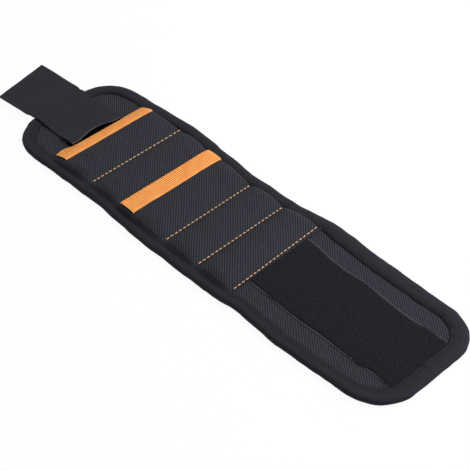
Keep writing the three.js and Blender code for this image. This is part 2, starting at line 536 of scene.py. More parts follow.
# Knitted polyester spacer mesh: a dull dark knit, full of round holes painted near black as shade.
MESH_LINING = SpacerMesh("knitted_spacer_mesh", "#26272c", "#08080a", roughness=0.85)
# Spun polyester sewing thread: bright orange dashes with a slight shine.
ORANGE_THREAD = Grained("orange_polyester_thread", "#ffd3a0", "#e9b074", roughness=0.6, specular=0.3)
# Black sewing thread: hardly told from the tape that it holds.
BLACK_THREAD = Grained("black_polyester_thread", "#18191d", "#101114", roughness=0.7, specular=0.3)
# Melted nylon along the hot-cut end, slightly glossy, coloured paler than the strap as a painted highlight.
CUT_END_HIGHLIGHT = Grained("painted_highlight_cut_end", "#40414a", "#222328", roughness=0.45, specular=0.3)
# Moulded nylon hooks: small points of gloss on a dark base.
HOOK_NYLON = Grained("moulded_nylon_hooks", "#1f2024", "#101012", roughness=0.45, specular=0.5)
# Nickel plate on the magnets: bright, slightly warm metal with a blurred gloss.
NICKEL_PLATE = Grained(
    "nickel_plated_magnet", "#cfccc4", "#bdb9b0", roughness=0.28, specular=0.5, metallic=1.0
)


@dataclass(frozen=True)
class Fold:
    """A line across the band where one body turns on the next.

    Its reach to either side is below zero where the second body lies towards the strap.
    """

    before: str
    after: str
    place: float
    reach: float

    def bend(self, piece: Piece) -> None:
        """Bakes the piece's place into its mesh; the piece is not bent or tied to a body.

        Args:
            piece: The piece.
        """
        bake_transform(piece)


@dataclass(frozen=True)
class Section:
    """The stretch of band about one fold, from the middle of one panel to the middle of the next."""

    number: int
    span: Span
    fold: Fold

    @property
    def node(self) -> str:
        """The name that CAD nodes of the panel after the fold share."""
        return PANEL_NODES[self.number + 1]


@dataclass(frozen=True)
class Band:
    """The whole band: its outline, its folds, and how its sewn edge wanders."""

    start: float
    end: float
    half_width: float
    folds: tuple[Fold, ...]
    corner: float = 27.0
    near_wander: Knots = ((-112, 1.0), (-52, -0.3), (2, 2.0), (45, 1.6), (80, -0.3), (110, 1.1), (155, -1.2))
    far_wander: Knots = ((-115, 0), (-60, 3.2), (8, -1.8), (30, -1.5), (72, 3.2), (98, 1.2), (150, 0))
    longer_from: float = 140.0
    longer_by: float = 0.5
    end_skew: float = 2.4

    @classmethod
    def from_frame(cls) -> Band:
        """Reads the folds and the outline from the frame.

        Returns:
            The band.
        """
        sewn_reach = 6.0
        soft_reach = 18.0
        folds = []
        for before, after in zip(PANELS, PANELS[1:]):
            reach = soft_reach if before.startswith("loop_panel") else sewn_reach
            folds.append(Fold(before, after, joint_place(before, after).x, reach))
        low = node_box("binding_end")[0]
        high = node_box("binding_loop_3")[1]
        return cls(low.x, high.x, high.y, tuple(folds))

    def panel_middle(self, panel: int) -> float:
        """The middle of a panel that lies between two folds."""
        return (self.folds[panel - 1].place + self.folds[panel].place) / 2

    def sections(self) -> list[Section]:
        """Divides the band at the panels' middles.

        Returns:
            The stretches that every layer is cut into.
        """
        cuts = [self.panel_middle(panel) for panel in range(1, len(self.folds))]
        spans = zip([self.start, *cuts], [*cuts, self.end])
        return [Section(i, Span(*span), fold) for i, (span, fold) in enumerate(zip(spans, self.folds))]

    def half_width_at(self, x: float, inset: float) -> float:
        """Half the width of the outline, moved in.

        Args:
            x: The place along the band.
            inset: How far it is moved in.

        Returns:
            Half the width there.
        """
        radius = self.corner - inset
        into = clamp(max(self.start + self.corner - x, x - self.end + self.corner), radius)
        return self.half_width - inset - radius + math.sqrt(radius * radius - into * into)

    @property
    def straight(self) -> float:
        """Length of a long edge between its corners."""
        return self.end - self.start - 2 * self.corner

    @property
    def end_straight(self) -> float:
        """Length of an end between its corners."""
        return 2 * (self.half_width - self.corner)

    @property
    def round_length(self) -> float:
        """Length of the outline round one corner."""
        return self.corner * math.pi / 2

    @property
    def around(self) -> float:
        """Length of the whole outline."""
        return 2 * self.straight + 2 * self.end_straight + 4 * self.round_length

    def along(self, x: float, side: Side) -> float:
        """How far along the outline a place on a long edge lies.

        The outline starts near the loop end's near corner, and runs down the near edge, round the strap's
        end and back up the far edge.

        Args:
            x: The place along the band.
            side: The long edge.

        Returns:
            The distance along the outline.
        """
        if side is Side.NEAR:
            return self.end - self.corner - x
        return self.straight + 2 * self.round_length + self.end_straight + x - self.start - self.corner

    def edge(self, distance: float) -> tuple[Vector, Vector]:
        """A point on the outline.

        Args:
            distance: How far along the outline it lies.

        Returns:
            The point, and the direction out of the band there.
        """
        half_turn = self.around / 2
        quarter = math.pi / 2
        rest = distance % half_turn
        past_edge = rest - self.straight
        past_corner = past_edge - self.round_length
        past_end = past_corner - self.end_straight
        angle = clamp(past_edge / self.corner, quarter) + clamp(past_end / self.corner, quarter)
        out = Vector((-math.sin(angle), -math.cos(angle), 0))
        x = self.straight / 2 - min(rest, self.straight)
        y = clamp(past_corner, self.end_straight) - self.end_straight / 2
        point = Vector((x, y, 0)) + out * self.corner
        if int(distance // half_turn) % 2:
            point.xy = -point.xy
            out.xy = -out.xy
        point.x += (self.start + self.end) / 2
        return point, out

    def settle(self, point: Vector) -> Vector:
        """Moves a point with the edge, which sewing has drawn in here and let out there.

        Args:
            point: The point on the even band.

        Returns:
            The point on the sewn one.
        """
        knots = self.far_wander if point.y > 0 else self.near_wander
        share = point.y * abs(point.y) / self.half_width**2
        longer = self.longer_by + self.end_skew * share
        x = point.x + longer * Span(self.longer_from, self.end).rise(point.x)
        return Vector((x, point.y + wander(point.x, knots) * share, point.z))


BAND = Band.from_frame()


def cut_cloth(along: Span, across: Span, grid: Grid) -> Cloth:
    """Cuts a flat rectangle of cloth.

    Args:
        along: Its stretch along X.
        across: Its stretch along Y.
        grid: The steps that it is divided into, along X and along Y.

    Returns:
        A grid at the height zero, face up.
    """
    bm = bmesh.new()
    columns, rows = along.segments(grid[0]), across.segments(grid[1])
    bmesh.ops.create_grid(bm, x_segments=columns, y_segments=rows, size=0.5)
    bmesh.ops.scale(bm, vec=(along.length, across.length, 1), verts=bm.verts)
    bmesh.ops.translate(bm, vec=(along.middle, across.middle, 0), verts=bm.verts)
    return bm


def keep_flat_map(bm: Cloth, crosswise: bool = False) -> None:
    """Keeps each point's present place as the flat map that the weave follows.

    Args:
        bm: The cloth.
        crosswise: Whether the tape's length runs along Y.
    """
    layer = bm.loops.layers.uv.new(FLAT)
    for face in bm.faces:
        for loop in face.loops:
            place = loop.vert.co
            loop[layer].uv = place.yx if crosswise else place.xy


def thicken(bm: Cloth, thickness: float) -> None:
    """Gives a sheet its thickness, under the face it shows."""
    bm.normal_update()
    bmesh.ops.solidify(bm, geom=bm.faces[:], thickness=thickness)


def lay(bm: Cloth, place: Callable[[Vector], Vector]) -> None:
    """Moves every point to where the cloth lies."""
    for vert in bm.verts:
        vert.co = place(vert.co)


def add_mesh(bm: Cloth, name: str) -> bpy.types.Mesh:
    """Turns a shape into a mesh.

    Args:
        bm: The shape. It is freed.
        name: The mesh's name.

    Returns:
        The mesh.
    """
    mesh = bpy.data.meshes.new(name)
    bm.to_mesh(mesh)
    bm.free()
    return mesh


def add_object(name: str, data: bpy.types.ID) -> Piece:
    """Adds an object to the scene.

    Args:
        name: The object's name.
        data: Its mesh, camera or light.

    Returns:
        The object, at the origin.
    """
    added = bpy.data.objects.new(name, data)
    bpy.context.scene.collection.objects.link(added)
    return added


def finish_piece(bm: Cloth, name: str, finish: Finish) -> Piece:
    """Turns a shaped bmesh into a piece.

    Args:
        bm: The shape, in millimetres. It is freed.
        name: The piece's name.
        finish: What it is made of.

    Returns:
        The piece, at the origin, in metres.
    """
    lay(bm, BAND.settle)
    bmesh.ops.scale(bm, vec=(MM, MM, MM), verts=bm.verts)
    for face in bm.faces:
        face.smooth = True
    for line in bm.edges:
        line.smooth = line.calc_face_angle(0.0) < SHARP_ANGLE
    mesh = add_mesh(bm, name)
    mesh.materials.append(finish.material())
    piece = add_object(name, mesh)
    LOG.info("%s: %d faces", name, len(mesh.polygons))
    return piece


def add_stitch(bm: Cloth, place: Vector, along: Vector, length: float, width: float) -> None:
    """Adds one stitch, a bead of thread that dips into the cloth at both ends.

    Args:
        bm: Where it goes.
        place: Its middle.
        along: The sewing direction.
        length: Its length.
        width: The thread's width.
    """
    turn = along.to_track_quat("Z", "Y").to_matrix().to_4x4()
    matrix = Matrix.Translation(place) @ turn @ Matrix.Diagonal((width, width, length, 1))
    bmesh.ops.create_uvsphere(bm, u_segments=6, v_segments=6, radius=0.5, matrix=matrix)


@dataclass(frozen=True)
class Lining:
    """The padded mesh that lies against the wrist, pressed thin under the binding."""

    inset: float = 6.0
    pressed: float = 0.9
    press_slope: Span = Span(9.0, 12.5)
    waves: Ripple = Ripple(0.12, 11, 3)
    grid: Grid = (1.2, 1 / 34)

    @property
    def thickness(self) -> float:
        """The pad's thickness."""
        return node_box("lining_pocket_3")[1].z

    def placed(self, flat: Vector) -> Vector:
        """Puts a point of the flat pad into the band.

        Args:
            flat: The point, whose Y is a share of the half width.

        Returns:
            The point in place.
        """
        y = flat.y * BAND.half_width_at(flat.x, self.inset)
        edge = min(BAND.half_width_at(flat.x, 0) - abs(y), Span(BAND.start, BAND.end).inside(flat.x))
        height = flat.z + self.thickness
        if height < self.thickness / 2:
            height = self.pressed * (1 - self.press_slope.rise(edge))
            height += max(0, self.waves.at(flat.x, y))
        return Vector((flat.x, y, height))

    def build(self) -> None:
        """Makes the pad, section by section."""
        for section in BAND.sections():
            low = max(section.span.low, BAND.start + self.inset)
            high = min(section.span.high, BAND.end - self.inset)
            bm = cut_cloth(Span(low, high), Span(-1, 1), self.grid)
            thicken(bm, self.thickness)
            lay(bm, self.placed)
            keep_flat_map(bm)
            piece = finish_piece(bm, f"lining_{section.number}", MESH_LINING)
            section.fold.bend(piece)
            nodes = [f"lining_{section.node}"]
            if section.number == 0:
                nodes.append("lining_end")
            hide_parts(*nodes)


@dataclass(frozen=True)
class PocketPanel:
    """The sheet over the magnets, sewn down across the band so that it puffs up into five pockets.

    Two pockets have a mouth: their upper edge is free, stands up a little and carries a webbing strip. The
    first mouth lies over the strap's sewn end, which pushes it back and holds it open.
    """

    cloth: float = 0.8
    fullness: float = 2.4
    near_foot: float = 40.0
    near_reach: float = 10.0
    lip_foot: float = 40.5
    lip_reach: float = 4.8
    lip_fade: Span = Span(8, 22)
    far_side: float = 37.2
    far_fullness: float = 22.0
    swell: float = 1.6
    swell_at: float = 35.5
    swell_width: float = 2.2
    mouths: tuple[int, int] = (1, 3)
    setbacks: tuple[float, float] = (0.9, 0.7)
    lips: tuple[float, float] = (0.1, 0.72)
    strap_near: Span = Span(-25, -20)
    strap_far: Span = Span(16, 22)
    pushed_back: float = 1.0
    flare: float = 1.7
    flare_at: float = -29.5
    flare_width: float = 6.0
    seat_depth: float = 0.6
    seat_slope: Span = Span(-5.5, -3.5)
    early_row: int = 1
    early_by: float = 1.0
    hem: float = 1.8
    hem_cloth: float = 1.5
    inset: float = 3.0
    stitch: float = 3.22
    slow_waves: Ripple = Ripple(0.5, 16, 0)
    quick_waves: Ripple = Ripple(0.22, 6, 9)
    pucker: float = 0.12
    pucker_reach: float = 3.0
    grid: Grid = (0.5, 0.7)

    @property
    def base(self) -> float:
        """Height of the flat cloth."""
        return node_box("cloth_end")[1].z

    @property
    def puff(self) -> float:
        """How far a pocket rises above the flat cloth."""
        return node_box("cover_pocket_3")[1].z - self.base

    def seam(self, fold: int) -> float:
        """Where the sewing line at a fold lies: the first row between pockets is sewn a little early."""
        return BAND.folds[fold].place - (self.early_by if fold == self.early_row else 0.0)

    def over_strap(self, y: float) -> float:
        """How fully a place across the band lies over the strap's sewn end, from 0 to 1."""
        return self.strap_near.rise(y) * (1 - self.strap_far.rise(y))

    def lip(self, pocket: int, y: float) -> float:
        """How far a pocket's upper edge stands up.

        Args:
            pocket: The pocket's number.
            y: Place across the band.

        Returns:
            A share of the puff.
        """
        if pocket not in self.mouths:
            return 0.0
        lip = self.lips[self.mouths.index(pocket)]
        return lip * self.over_strap(y) if pocket == self.mouths[0] else lip

    def mouth(self, pocket: int, y: float) -> float:
        """Where a pocket's upper edge lies.

        Args:
            pocket: The pocket's number.
            y: Place across the band.

        Returns:
            The place along the band.
        """
        edge = BAND.folds[pocket - 1].place + self.setbacks[self.mouths.index(pocket)]
        if pocket != self.mouths[0]:
            return edge
        flared = self.flare * hump(y - self.flare_at, self.flare_width)
        return edge + self.pushed_back * self.over_strap(y) - flared

    def seat(self, x: float, y: float) -> float:
        """How deep the base cloth is pressed down where the first mouth gapes over the strap's end."""
        slope = self.seat_slope.rise(x - BAND.folds[0].place)
        return self.seat_depth * slope * self.over_strap(y)

    def flank(self, pocket: int, x: float, y: float) -> float:
        """How much of the puff is left at a place across: the near flank falls slowly, the far one at once.

        Args:
            pocket: The pocket's number.
            x: Place along the band.
            y: Place across the band.

        Returns:
            A share from 0 to 1. At a mouth the webbing keeps the near flank up for longer.
        """
        if y > 0:
            return max(0.0, 1 - (y / self.far_side) ** self.far_fullness)
        foot, reach = self.near_foot, self.near_reach
        if pocket in self.mouths:
            away = self.lip_fade.rise(x - self.mouth(pocket, y))
            foot = self.lip_foot + (foot - self.lip_foot) * away
            reach = self.lip_reach + (reach - self.lip_reach) * away
        return 1 - clamp((reach - foot - y) / reach) ** 2

    def cover(self, x: float, y: float) -> float:
        """Height of the sheet at a place on the band, or of the base cloth.

        Args:
            x: Place along the band.
            y: Place across the band.

        Returns:
            The height of what lies on top there.
        """
        for pocket in POCKETS:
            if self.seam(pocket - 1) < x < self.seam(pocket):
                return self.height(pocket, x, y)
        return self.base

    def bulged(self, place: Vector) -> Vector:
        """Lets a point of a pocket's far flank swell out over the binding, as far as the pocket is full.

        Args:
            place: The point.

        Returns:
            The point, moved across the band.
        """
        full = max(0.0, place.z - self.base) / self.puff
        swollen = self.swell * full * hump(place.y - self.swell_at, self.swell_width)
        return Vector((place.x, place.y + swollen, place.z))

    def height(self, pocket: int, x: float, y: float) -> float:
        """Height of the sheet over one pocket.

        Args:
            pocket: The pocket's number, from 1.
            x: Place along the band.
            y: Place across the band.

        Returns:
            The height of the face that shows.
        """
        rows = Span(self.seam(pocket - 1), self.seam(pocket))
        share = 2 * clamp((x - rows.low) / rows.length) - 1
        rise = 1 - abs(share) ** self.fullness
        if share < 0:
            lip = self.lip(pocket, y)
            rise = lip + (1 - lip) * rise
        loose = self.slow_waves.at(x, y, pocket) + self.quick_waves.at(x, y, pocket)
        sewn = hump(rows.inside(x), self.pucker_reach)
        pucker = self.pucker * math.sin(2 * math.pi * y / self.stitch) * sewn
        return self.base + ((self.puff + loose) * rise + pucker) * self.flank(pocket, x, y)

    def build(self) -> None:
        """Makes the sheet, fold by fold."""
        middles = [BAND.panel_middle(panel) for panel in POCKETS]
        first, second = (self.mouth(pocket, 0) for pocket in self.mouths)
        end = BAND.folds[2].place
        hem = BAND.folds[LOOP_FOLD].place + self.hem
        pieces = (
            PocketCloth(self, "1_mouth", Span(first, middles[0]), 0, ("cover_pocket_1",), mouth=1),
            PocketCloth(self, "1_to_2", Span(middles[0], middles[1]), 1, ("cover_pocket_2",)),
            PocketCloth(self, "2_end", Span(middles[1], end), 2, alone=2),
            PocketCloth(self, "3_mouth", Span(second, middles[2]), 2, ("cover_pocket_3",), mouth=3),
            PocketCloth(self, "3_to_4", Span(middles[2], middles[3]), 3, ("cover_pocket_4",)),
            PocketCloth(self, "4_to_5", Span(middles[3], middles[4]), 4, ("cover_pocket_5",)),
            PocketCloth(self, "5_hem", Span(middles[4], hem), LOOP_FOLD, alone=5),
        )
        for piece in pieces:
            piece.build()


@dataclass(frozen=True)
class PocketCloth:
    """One piece of the sheet over the pockets.

    It covers the halves of the two pockets beside its fold, or of one alone where the sheet ends at the fold,
    and it may start with a mouth's free edge.
    """

    panel: PocketPanel
    name: str
    span: Span
    fold: int
    nodes: tuple[str, ...] = ()
    alone: int | None = None
    mouth: int | None = None

    def placed(self, flat: Vector) -> Vector:
        """Puts a point of the flat sheet over the magnets.

        Args:
            flat: The point, whose Z is a share of the cloth's thickness.

        Returns:
            The point in place.
        """
        panel = self.panel
        x, y = flat.x, flat.y
        line = panel.seam(self.fold)
        pocket = self.alone or (self.fold if x < line else self.fold + 1)
        if self.mouth and x < self.span.low + SAME_PLACE:
            x = panel.mouth(self.mouth, y)
        thick = panel.hem_cloth if self.alone and x > line else panel.cloth
        top = panel.height(pocket, x, y) + thick - panel.cloth
        return panel.bulged(Vector((x, y, top + flat.z * thick)))

    def build(self) -> None:
        """Makes the piece."""
        reach = BAND.half_width - self.panel.inset
        bm = cut_cloth(self.span, Span(-reach, reach), self.panel.grid)
        thicken(bm, 1.0)
        keep_flat_map(bm)
        lay(bm, self.placed)
        piece = finish_piece(bm, f"pocket_cloth_{self.name}", POCKET_TWILL)
        BAND.folds[self.fold].bend(piece)
        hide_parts(*self.nodes)


@dataclass(frozen=True)
class WebbingStrip:
    """A strip of orange webbing, folded over a pocket's mouth."""

    panel: PocketPanel
    number: int
    pocket: int
    lower_edge: float
    near_end: float
    far_end: float = 34.8
    turn: float = 1.6
    turn_lift: float = 0.2
    turn_bow: float = 0.4
    inner_lap: float = 2.5
    inner_gap: float = 0.55
    thickness: float = 0.5
    stand_off: float = 0.95
    overhang: float = 0.35
    sewn_depth: float = 0.45
    sewn_width: float = 1.2
    rib_depth: float = 0.08
    grid: Grid = (0.4, ORANGE_WEBBING.rib / 4)

    @property
    def fold(self) -> Fold:
        """The fold beside the mouth."""
        return BAND.folds[self.pocket - 1]

    @property
    def shown(self) -> float:
        """Width of the lap that shows."""
        return self.fold.place + self.lower_edge - self.panel.mouth(self.pocket, 0) + self.overhang

    def placed(self, flat: Vector) -> Vector:
        """Folds a point of the flat strip over the mouth.

        Args:
            flat: The point, whose X is zero at the mouth's edge and grows along the lap that shows.

        Returns:
            The point in place.
        """
        panel, pocket = self.panel, self.pocket
        across, y = flat.x, flat.y
        mouth = panel.mouth(pocket, y) - self.overhang
        if across >= 0:
            x = mouth + across * (self.fold.place + self.lower_edge - mouth) / self.shown
            sewn = self.sewn_depth * Span(self.shown - self.sewn_width, self.shown).rise(across)
            rib = self.rib_depth * math.cos(2 * math.pi * y / ORANGE_WEBBING.rib)
            return panel.bulged(Vector((x, y, panel.height(pocket, x, y) + self.stand_off - sewn - rib)))
        if across > -self.turn:
            angle = -across / self.turn * math.pi
            half = self.stand_off + panel.cloth / 2 - self.turn_lift
            middle = panel.height(pocket, mouth, y) + self.stand_off - half
            return Vector((mouth - self.turn_bow * math.sin(angle), y, middle + half * math.cos(angle)))
        x = mouth - across - self.turn
        return Vector((x, y, panel.height(pocket, x, y) - panel.cloth - self.inner_gap))

    def build(self) -> None:
        """Makes the strip."""
        span = Span(-self.turn - self.inner_lap, self.shown)
        length = Span(self.near_end, self.far_end)
        bm = cut_cloth(span, length, self.grid)
        keep_flat_map(bm, crosswise=True)
        lay(bm, self.placed)
        thicken(bm, self.thickness)
        piece = finish_piece(bm, f"webbing_{self.number}", ORANGE_WEBBING)
        self.fold.bend(piece)
        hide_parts(f"webbing_strip_{self.number}")


@dataclass(frozen=True)
class StitchRows:
    """The rows of orange thread that close the pockets."""

    panel: PocketPanel
    folds: tuple[int, ...] = (1, 3, 4, 5)
    near_end: float = -35.0
    far_ends: tuple[float, ...] = (37.4, 35.4, 35.4, 36.0)
    last_slant: float = -0.032
    thread: float = 0.55
    share: float = 0.75
    lift: float = 0.3
    hem_share: float = 0.7
    wobble: float = 0.06
    wobble_turn: float = 2.4

    def build(self) -> None:
        """Sews each row along its fold."""
        hem_lift = self.hem_share * (self.panel.hem_cloth - self.panel.cloth)
        for fold, far_end in zip(self.folds, self.far_ends):
            slant, hem = (self.last_slant, hem_lift) if fold == LOOP_FOLD else (0.0, 0.0)
            row = Span(self.near_end, far_end)
            count = row.segments(self.panel.stitch)
            pitch = row.length / count
            bm = bmesh.new()
            for stitch in range(count):
                y = row.low + pitch * (stitch + 0.5)
                place = Vector((self.panel.seam(fold) + slant * y, y, self.panel.base + self.lift + hem))
                along = Vector((slant + self.wobble * math.sin(stitch * self.wobble_turn), 1, 0))
                add_stitch(bm, place, along, self.share * pitch, self.thread)
            piece = finish_piece(bm, f"stitch_row_{fold}", ORANGE_THREAD)
            BAND.folds[fold].bend(piece)


@dataclass(frozen=True)
class Lap:
    """How the binding's upper lap lies along one side: how far it reaches in, swells and is tucked down."""

    reach: Knots
    pillow: float
    tuck: float


@dataclass(frozen=True)
class EdgeBinding:
    """The tape that is folded round the band's edge and sewn down all round."""

    panel: PocketPanel
    lap: float = 10.0
    near: Lap = Lap(((-135, 9.3), (-95, 8.0), (130, 8.4), (182, 10.4)), 0.1, 0.6)
    far: Lap = Lap(
        ((-110, 9.5), (-64, 7.5), (5, 9.3), (61, 9.1), (80, 10.4), (110, 11.2), (182, 10.4)), 0.4, 0.3
    )
    tape: float = 0.7
    climb: float = 2.2
    clear: float = 0.5
    crease: float = 0.3
    crease_at: float = 0.42
    crease_width: float = 0.7
    crease_share: float = 0.7
    crease_change: Ripple = Ripple(1.2, 17, 14)
    crease_wander: Ripple = Ripple(0.12, 21, 12)
    slow_draw: Ripple = Ripple(0.8, 15, 11)
    quick_draw: Ripple = Ripple(0.3, 6, 16)
    lap_draw: Ripple = Ripple(0.5, 13, 1)
    lap_waves: Ripple = Ripple(0.25, 13, 2)
    pucker: Ripple = Ripple(0.3, 5, 15)
    seam_inset: float = 1.4
    stitch: float = 3.2
    stitch_share: float = 0.75
    thread: float = 0.45
    next_place: float = 0.5
    grid: Grid = (1.2, 0.7)

    @property
    def height(self) -> float:
        """Height of the folded edge."""
        return node_box("binding_pocket_1_near")[1].z

    @property
    def width(self) -> float:
        """The tape's width before it is folded: two laps and the round between them."""
        return 2 * (self.lap - self.height / 2) + math.pi * self.height / 2

    def folded(self, flat: Vector) -> Vector:
        """Folds a point of the flat tape round the edge.

        Args:
            flat: Distance along the outline, and across the tape from the lap that shows.

        Returns:
            The point on the band.
        """
        point, out = BAND.edge(flat.x)
        lap = self.far if point.y > 0 else self.near
        radius = self.height / 2
        turn = math.pi * radius
        shown = wander(point.x, lap.reach) - radius
        across = flat.y - shown
        inset = radius + self.slow_draw.at(flat.x) + self.quick_draw.at(flat.x)
        height = 0.0
        if across < 0:
            share = -across / shown
            inset += share * self.lap_draw.at(flat.x) - across
            height = self.lap_height(flat, lap, share, shown)
            place = point - out * inset
            if place.y < 0:
                under = self.panel.cover(place.x, place.y) + self.clear
                height = max(height, min(under, height + self.climb))
        elif across < turn:
            inset -= radius * math.sin(across / radius)
            height = radius + radius * math.cos(across / radius)
        else:
            inset += across - turn
        return point - out * inset + Vector((0, 0, height))

    def lap_height(self, flat: Vector, lap: Lap, share: float, shown: float) -> float:
        """Height of the upper lap, which has crept into a crease along its middle.

        Args:
            flat: The point on the flat tape.
            lap: The lap of that side.
            share: How far in on the lap it lies, from 0 at the round to 1.
            shown: The lap's width.

        Returns:
            The height of the face that shows.
        """
        swell = lap.pillow * math.sin(math.pi * share) - lap.tuck * share**3
        waves = (self.lap_waves.at(flat.x, flat.y) + self.pucker.at(flat.x)) * share
        away = (share - self.crease_at - self.crease_wander.at(flat.x)) * shown
        depth = self.crease * max(0.0, self.crease_share + self.crease_change.at(flat.x))
        return self.height + swell + waves - depth * hump(away, self.crease_width)

    def runs(self, section: Section) -> list[tuple[str, Span, list[str]]]:
        """The tape's runs in one section: one at each end of the band, and two elsewhere.

        Args:
            section: The stretch of band.

        Returns:
            Each run's name, its stretch of the outline, and the CAD nodes that it stands for.
        """
        low, high = section.span.low, section.span.high
        near = Span(BAND.along(high, Side.NEAR), BAND.along(low, Side.NEAR))
        far = Span(BAND.along(low, Side.FAR), BAND.along(high, Side.FAR))
        if low == BAND.start:
            nodes = ["binding_end", "binding_pocket_1_near", "binding_pocket_1_far"]
            return [("end", Span(near.low, far.high), nodes)]
        if high == BAND.end:
            return [("loop_end", Span(far.low, near.high + BAND.around), ["binding_loop_3"])]
        sides = (("near", near), ("far", far))
        return [(run, span, [f"binding_{section.node}_{run}"]) for run, span in sides]

    def build(self) -> None:
        """Makes the tape and its seam, run by run."""
        for section in BAND.sections():
            for run, span, nodes in self.runs(section):
                bm = cut_cloth(span, Span(0, self.width), self.grid)
                keep_flat_map(bm)
                lay(bm, self.folded)
                thicken(bm, self.tape)
                name = f"binding_{section.number}_{run}"
                piece = finish_piece(bm, name, BINDING_TAPE)
                section.fold.bend(piece)
                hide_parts(*nodes)
                seam = self.seam(span, f"binding_seam_{section.number}_{run}")
                section.fold.bend(seam)
                flat = (self.width * MM, span.length * MM)

    def seam(self, span: Span, name: str) -> Piece:
        """Sews the lap down with black thread.

        Args:
            span: The stretch of outline.
            name: The piece's name.

        Returns:
            The row of stitches.
        """
        bm = bmesh.new()
        count = span.segments(self.stitch)
        pitch = span.length / count
        for number in range(count):
            distance = span.low + pitch * (number + 0.5)
            place = self.folded(Vector((distance, self.seam_inset, 0)))
            ahead = self.folded(Vector((distance + self.next_place, self.seam_inset, 0)))
            add_stitch(bm, place, ahead - place, self.stitch_share * pitch, self.thread)
        return finish_piece(bm, name, BLACK_THREAD)


@dataclass(frozen=True)
class FlatCloth:
    """The woven cloth that shows at the two ends of the band."""

    panel: PocketPanel
    inset: float = 5.0
    under_mouth: float = 8.0
    under_hem: float = 1.0
    waves: Ripple = Ripple(0.12, 15, 4)
    grid: Grid = (1.2, 1 / 36)

    def placed(self, flat: Vector) -> Vector:
        """Puts a point of the flat cloth into the band.

        Args:
            flat: The point, whose Y is a share of the half width.

        Returns:
            The point in place.
        """
        y = flat.y * BAND.half_width_at(flat.x, self.inset)
        height = self.panel.base + self.waves.at(flat.x, y) - self.panel.seat(flat.x, y)
        return Vector((flat.x, y, height + flat.z))

    def build(self) -> None:
        """Makes the strap end's cloth and the loop end's, section by section."""
        first = BAND.folds[0]
        self.piece("end", Span(BAND.start + self.inset, first.place + self.under_mouth), first)
        for section in BAND.sections()[LOOP_FOLD:]:
            starts = section.number == LOOP_FOLD
            low = section.fold.place - self.under_hem if starts else section.span.low
            high = min(section.span.high, BAND.end - self.inset)
            self.piece(section.node, Span(low, high), section.fold)

    def piece(self, name: str, span: Span, fold: Fold) -> None:
        """Makes one piece of cloth.

        Args:
            name: What it and its CAD node are called.
            span: Its stretch along the band.
            fold: The fold beside it.
        """
        bm = cut_cloth(span, Span(-1, 1), self.grid)
        thicken(bm, self.panel.cloth)
        lay(bm, self.placed)
        keep_flat_map(bm)
        area = sum(face.calc_area() for face in bm.faces if face.normal.z > FACING_UP)
        piece = finish_piece(bm, f"flat_cloth_{name}", BASE_TWILL)
        fold.bend(piece)
        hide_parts(f"cloth_{name}")


@dataclass(frozen=True)
class MouthShadeSheet:
    """A near-black sheet inside the first mouth: painted shade, which shows where the mouth gapes behind the
    strap's end.
    """

    panel: PocketPanel
    along: Span = Span(-105.2, -93.0)
    across: Span = Span(-23.0, 19.0)
    cloth: float = 0.3
    lift: float = 0.18
    grid: Grid = (0.6, 0.8)

    def placed(self, flat: Vector) -> Vector:
        """Lays a point of the flat shade sheet on the base cloth."""
        return flat + Vector((0, 0, self.panel.base + self.lift - self.panel.seat(flat.x, flat.y)))

    def build(self) -> None:
        """Lays the painted shade sheet into the mouth."""
        bm = cut_cloth(self.along, self.across, self.grid)
        keep_flat_map(bm, crosswise=True)
        lay(bm, self.placed)
        thicken(bm, self.cloth)
        piece = finish_piece(bm, "mouth_shade_sheet", MOUTH_SHADE_FINISH)
        BAND.folds[0].bend(piece)


